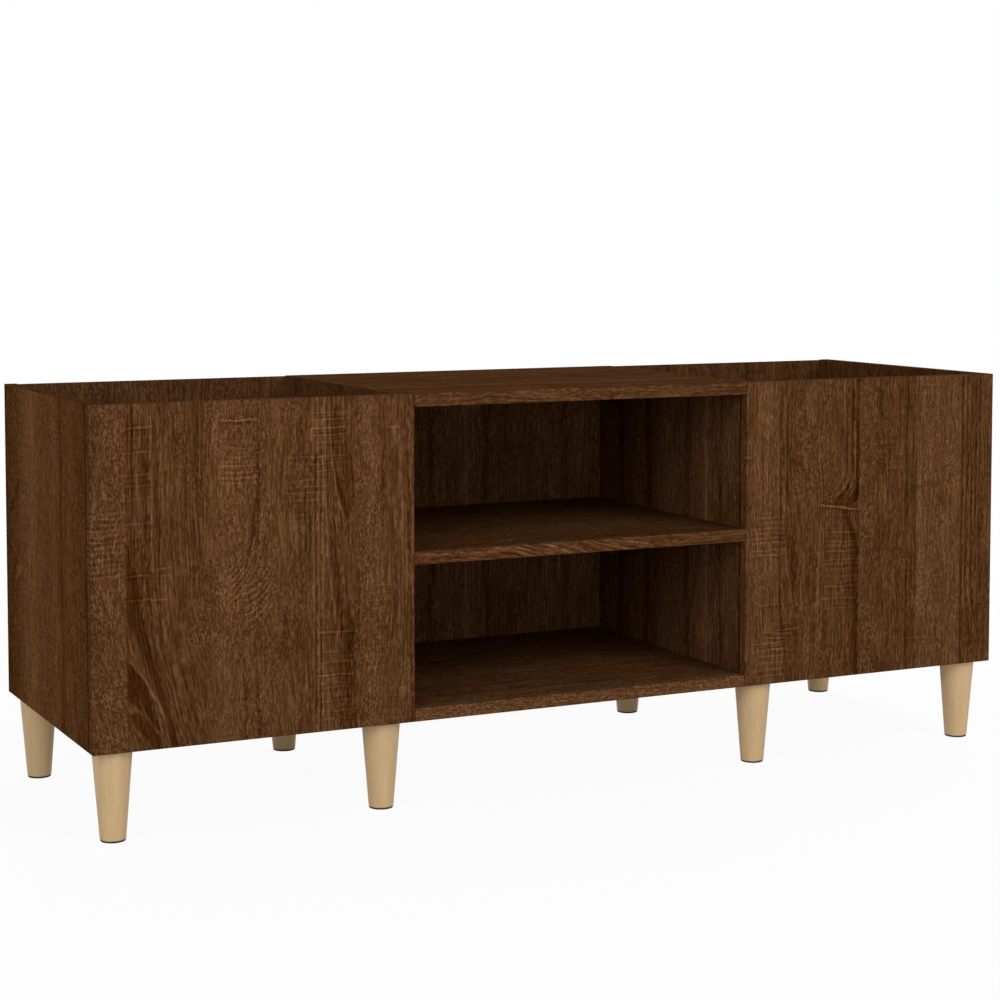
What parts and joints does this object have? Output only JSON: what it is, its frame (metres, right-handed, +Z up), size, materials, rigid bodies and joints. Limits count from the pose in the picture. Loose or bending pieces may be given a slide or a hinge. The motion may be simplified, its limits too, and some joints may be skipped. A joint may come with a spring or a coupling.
{
  "type": "record cabinet",
  "caption": "Low record cabinet with an open-top record bin at each end, an open bay with a shelf between them, and short round tapered legs.",
  "frame": {"origin": "on the floor, under the middle of the cabinet's width and depth", "axes": "+X to the right seen from the front, +Y towards the back, +Z up"},
  "size_m": [1.21, 0.38, 0.483],
  "materials": {
    "oak_decor_board": "matt brown sawn-oak laminate, grain upright on upright boards and lengthwise on level ones",
    "oak_decor_backboard": "thin board with the same brown oak laminate on its inner face",
    "leg_wood": "pale turned wood, clear satin lacquer",
    "glide_felt": "dark grey pad",
    "zinc_plated_steel": "zinc plated",
    "cast_zinc": "die-cast zinc alloy",
    "dowel_wood": "plain beech",
    "cap_plastic": "brown moulded cap"
  },
  "bodies": {
    "root": {"side_panel_left": "oak_decor_board", "side_panel_right": "oak_decor_board", "partition_left": "oak_decor_board", "partition_right": "oak_decor_board", "front_panel_left": "oak_decor_board", "front_panel_right": "oak_decor_board", "bin_floor_left": "oak_decor_board", "bin_floor_right": "oak_decor_board", "top_panel": "oak_decor_board", "shelf": "oak_decor_board", "bottom_panel": "oak_decor_board", "back_panel_left": "oak_decor_backboard", "back_panel_centre": "oak_decor_backboard", "back_panel_right": "oak_decor_backboard", "leg_front_left_outer": "leg_wood", "leg_front_left_inner": "leg_wood", "leg_front_right_outer": "leg_wood", "leg_front_right_inner": "leg_wood", "leg_rear_left_outer": "leg_wood", "leg_rear_left_inner": "leg_wood", "leg_rear_right_outer": "leg_wood", "leg_rear_right_inner": "leg_wood", "leg_glides": "glide_felt", "leg_bolts": "zinc_plated_steel", "leg_inserts": "zinc_plated_steel", "wooden_dowels": "dowel_wood", "cam_bolts": "zinc_plated_steel", "cam_locks": "cast_zinc", "cam_caps": "cap_plastic", "back_panel_nails": "zinc_plated_steel"}
  },
  "joints": []
}
